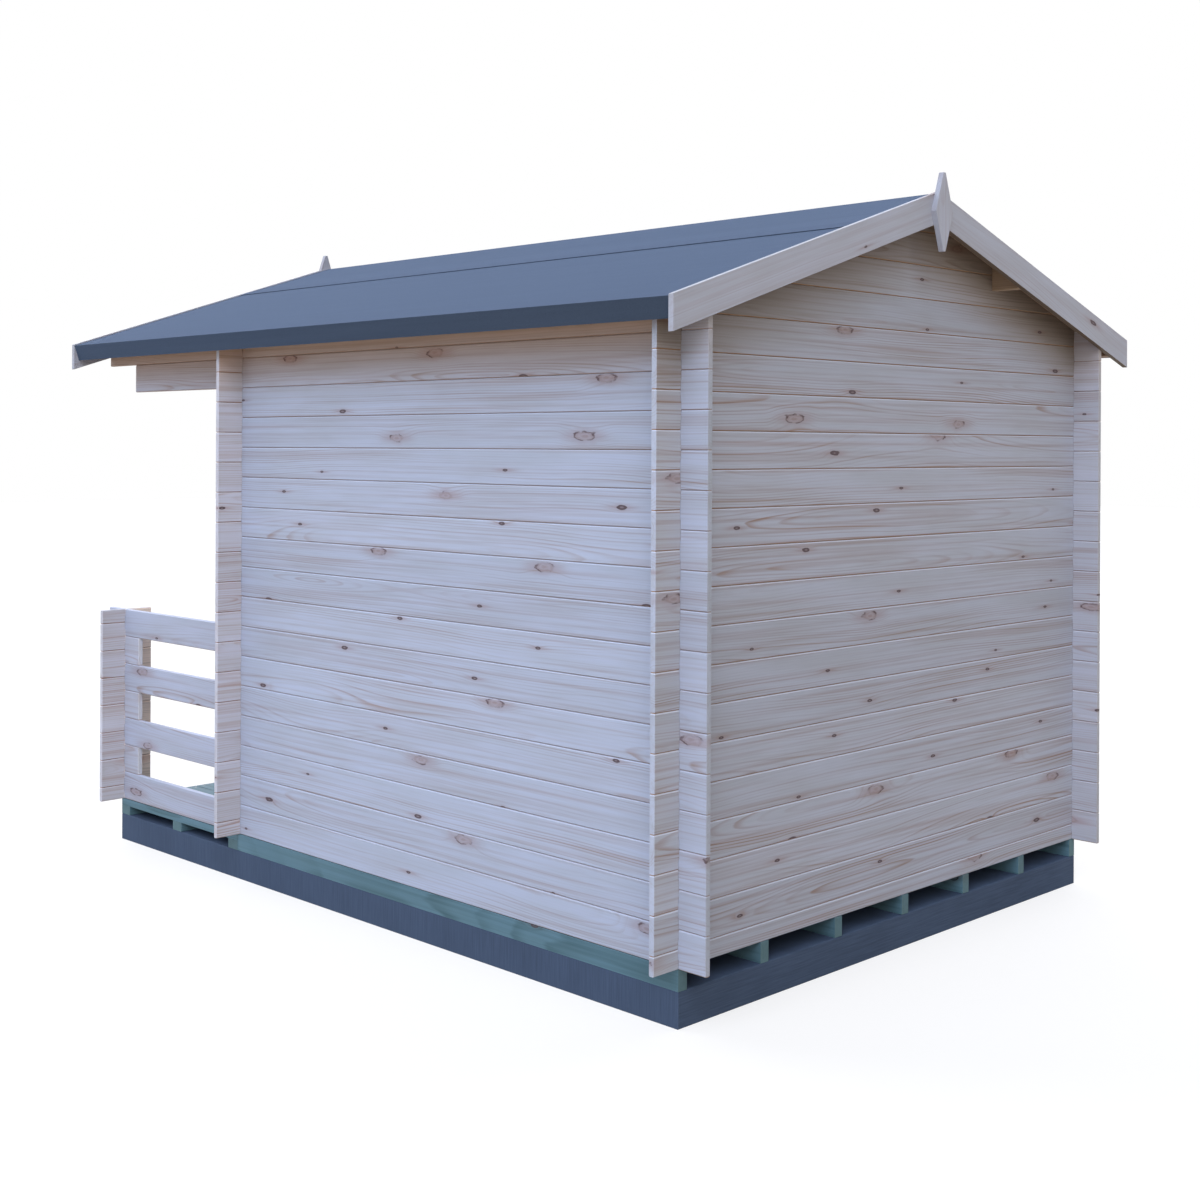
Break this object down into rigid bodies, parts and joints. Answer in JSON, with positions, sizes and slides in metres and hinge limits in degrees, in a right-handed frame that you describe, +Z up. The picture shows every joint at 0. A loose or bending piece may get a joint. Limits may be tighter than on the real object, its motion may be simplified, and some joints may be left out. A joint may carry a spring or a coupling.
{
  "type": "log cabin",
  "caption": "Small log cabin of crossed softwood boards with an open railed porch, felted gable roof, bargeboards and diamond finials, on a dark plinth.",
  "frame": {"origin": "ground level, under the middle of the whole cabin", "axes": "+Z up, -Y towards the porch at the front, +Y towards the plain rear gable, +X to the right wall"},
  "size_m": [2.614, 3.4912, 2.5917],
  "materials": {
    "pale_logs": "satin",
    "plain_boards": "satin",
    "treated_timber": "satin",
    "plinth_stone": "matte",
    "roofing_felt": "matte",
    "black_steel": "satin"
  },
  "bodies": {
    "root": {"plinth": "plinth_stone", "floor_joists": "treated_timber", "porch_bearers": "treated_timber", "porch_deck": "treated_timber", "floor": "plain_boards", "right_wall": "pale_logs", "left_wall": "pale_logs", "rear_wall": "pale_logs", "rear_gable": "pale_logs", "front_wall_right": "pale_logs", "front_wall_left": "pale_logs", "front_gable": "pale_logs", "right_porch_spacers": "pale_logs", "left_porch_spacers": "pale_logs", "right_porch_return": "pale_logs", "left_porch_return": "pale_logs", "door_frame": "plain_boards", "door_sill": "plain_boards", "door": "pale_logs", "door_ledges": "plain_boards", "door_hinges": "black_steel", "door_knob": "black_steel", "ridge_purlin": "plain_boards", "right_purlin": "plain_boards", "left_purlin": "plain_boards", "right_roof_boards": "plain_boards", "left_roof_boards": "plain_boards", "right_eave_batten": "plain_boards", "left_eave_batten": "plain_boards", "right_felt": "roofing_felt", "left_felt": "roofing_felt", "ridge_felt": "roofing_felt", "rear_bargeboard_right": "pale_logs", "rear_bargeboard_left": "pale_logs", "front_bargeboard_right": "pale_logs", "front_bargeboard_left": "pale_logs", "rear_finial": "pale_logs", "front_finial": "pale_logs"}
  },
  "joints": []
}
